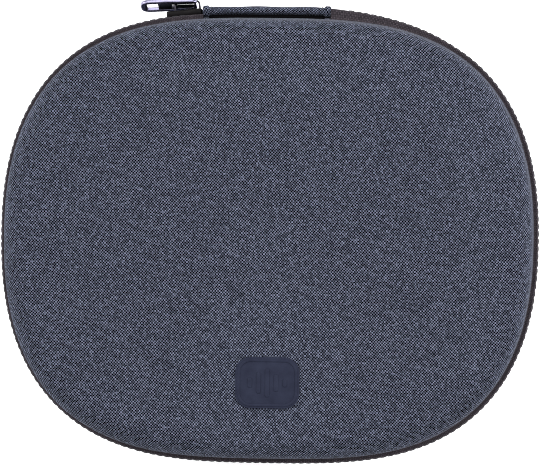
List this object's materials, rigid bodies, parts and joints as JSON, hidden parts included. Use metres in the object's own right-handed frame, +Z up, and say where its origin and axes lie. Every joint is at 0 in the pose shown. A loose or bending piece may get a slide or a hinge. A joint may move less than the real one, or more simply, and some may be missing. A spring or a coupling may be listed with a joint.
{
  "type": "headphone carrying case",
  "caption": "Rounded hard carrying case for over-ear headphones: woven fabric shells, zip round the rim, fabric hinge strip at the back and a metal slider with a pull.",
  "frame": {"origin": "centre of the base's flat underside, under the middle of the rim's outline", "axes": "+Z up through the lid, +X along the length to the right as seen from the front, +Y towards the hinge"},
  "size_m": [0.215, 0.186, 0.0639],
  "materials": {
    "heather_fabric": "woven navy heather polyester, matt",
    "eva_foam": "moulded closed-cell foam, matt",
    "lining_fabric": "brushed knit lining, matt",
    "edge_ribbon": "woven grosgrain ribbon, matt",
    "zip_tape": "woven polyester zip tape, matt",
    "zip_nylon": "nylon coil, satin",
    "pocket_net": "knitted net",
    "badge_rubber": "moulded soft rubber, satin",
    "black_paint": "die-cast zinc, black paint, satin",
    "gunmetal": "die-cast zinc, polished gunmetal plating"
  },
  "bodies": {
    "base": {"base_cover": "heather_fabric", "base_core": "eva_foam", "base_lining": "lining_fabric", "base_binding": "edge_ribbon", "base_zip_tape": "zip_tape", "base_zip_coil": "zip_nylon", "centre_block": "lining_fabric", "hinge_strip": "heather_fabric", "hinge_lining": "lining_fabric", "zip_stop": "gunmetal"},
    "lid": {"lid_cover": "heather_fabric", "lid_core": "eva_foam", "lid_lining": "lining_fabric", "lid_binding": "edge_ribbon", "lid_zip_tape": "zip_tape", "lid_zip_coil": "zip_nylon", "lid_badge": "badge_rubber", "mesh_pocket": "pocket_net", "pocket_binding": "edge_ribbon", "pocket_elastic": "edge_ribbon"},
    "slider": {"slider_body": "black_paint", "slider_crown": "gunmetal"},
    "pull": {"pull_tab": "gunmetal"}
  },
  "joints": [
    {"name": "lid_hinge", "type": "hinge", "parent": "base", "child": "lid", "pos_m": [0, 0.0934, 0.032], "axis": [-1, 0, 0], "range_deg": [0, 178], "deforming": ["hinge_strip", "hinge_lining", "lid_zip_tape", "lid_zip_coil"]},
    {"name": "slider_travel", "type": "hinge", "parent": "base", "child": "slider", "pos_m": [-0.03, 0.008, 0.032], "axis": [0, 0, 1], "range_deg": [0, 45]},
    {"name": "pull_swing", "type": "hinge", "parent": "slider", "child": "pull", "pos_m": [-0.03056, 0.0936, 0.032], "axis": [0, 0, -1], "range_deg": [0, 155]}
  ]
}
